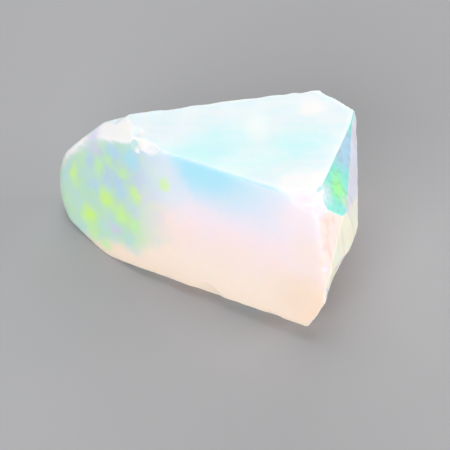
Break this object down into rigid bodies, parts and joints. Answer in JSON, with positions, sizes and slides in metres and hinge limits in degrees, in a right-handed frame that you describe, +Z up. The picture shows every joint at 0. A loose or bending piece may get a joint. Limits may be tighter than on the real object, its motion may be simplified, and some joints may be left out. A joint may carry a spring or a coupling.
{
  "type": "rough opal specimen",
  "caption": "Rough precious opal: a broken, wedge-shaped piece of milky stone with a rounded nose, resting on a flat break face.",
  "frame": {"origin": "on the ground, below the middle of the stone's bounding box", "axes": "+X along the length, from the rounded nose to the broken right end; +Y from the tall front face to the back; +Z up"},
  "size_m": [0.0236, 0.0198, 0.0125],
  "materials": {
    "opal": "milky translucent, waxy to glassy break faces, pastel play of colour"
  },
  "bodies": {
    "root": {"opal_stone": "opal"}
  },
  "joints": []
}
